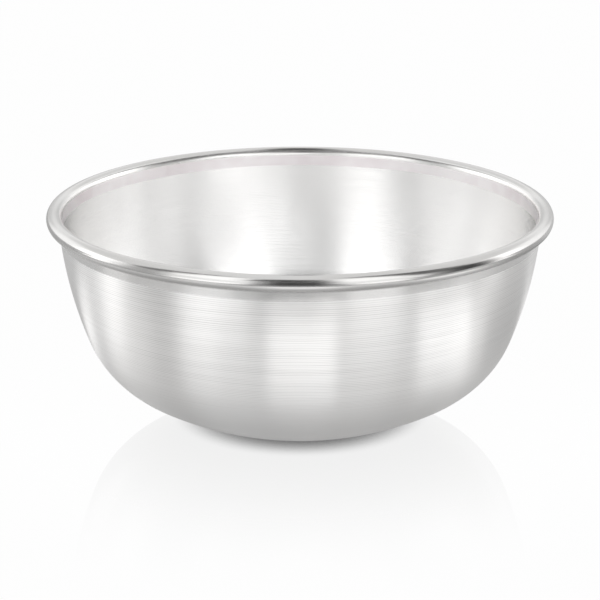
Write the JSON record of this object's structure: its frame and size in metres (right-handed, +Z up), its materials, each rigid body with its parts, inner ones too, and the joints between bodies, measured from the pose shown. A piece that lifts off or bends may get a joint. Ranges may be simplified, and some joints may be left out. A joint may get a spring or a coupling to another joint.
{
  "type": "offering bowl",
  "caption": "Round spun silver offering bowl: flat base, dished bottom, bowed wall turned to a fine ring finish, and a polished rim bead rolled over a wire.",
  "frame": {"origin": "middle of the flat base, on the surface that the bowl stands on", "axes": "+Z up along the bowl's axis, -Y towards the picture's viewer, +X to the viewer's right"},
  "size_m": [0.1, 0.1, 0.0433],
  "materials": {
    "turned_silver": "silver turned to fine rings inside and out, polished on the rim bead and the bands beside it",
    "drawn_silver_wire": "drawn silver wire, unpolished, hidden in the rolled lip",
    "silver_solder": "hard silver solder, filed flush"
  },
  "bodies": {
    "root": {"bowl_shell": "turned_silver", "rim_wire": "drawn_silver_wire", "wire_joint": "silver_solder", "rim_seam": "silver_solder"}
  },
  "joints": []
}
